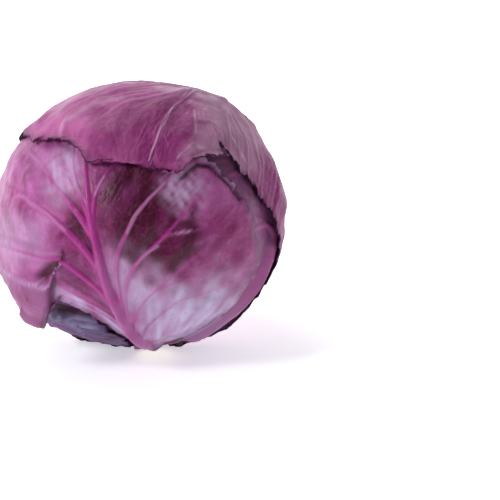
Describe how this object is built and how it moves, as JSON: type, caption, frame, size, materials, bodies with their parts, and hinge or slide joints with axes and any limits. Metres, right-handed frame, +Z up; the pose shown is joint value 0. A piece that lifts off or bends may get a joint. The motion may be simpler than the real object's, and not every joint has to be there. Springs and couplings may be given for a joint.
{
  "type": "cabbage head",
  "caption": "Round red cabbage head lying on its side, wrapped in large overlapping ribbed leaves, with its cut stem underneath.",
  "frame": {"origin": "the resting spot under the middle of the head, on the ground", "axes": "+Z up, away from the ground it lies on; the pictured front looks along -Y and its right is +X. The cut stem points down and a little to the front."},
  "size_m": [0.1762, 0.1705, 0.1594],
  "materials": {
    "heart_leaf": "waxy, satin",
    "stem_flesh": "matt, fibrous cut",
    "wrapper_leaf": "waxy, satin",
    "glaucous_leaf": "waxy, with a blue-grey bloom",
    "front_leaf": "waxy, satin, pale bloom at the base",
    "crown_leaf": "waxy, satin"
  },
  "bodies": {
    "root": {"heart": "heart_leaf", "cut_stem": "stem_flesh", "leaf_right_back": "wrapper_leaf", "leaf_left_back": "wrapper_leaf", "leaf_right": "wrapper_leaf", "leaf_left": "glaucous_leaf", "leaf_front": "front_leaf", "leaf_crown": "crown_leaf"}
  },
  "joints": []
}
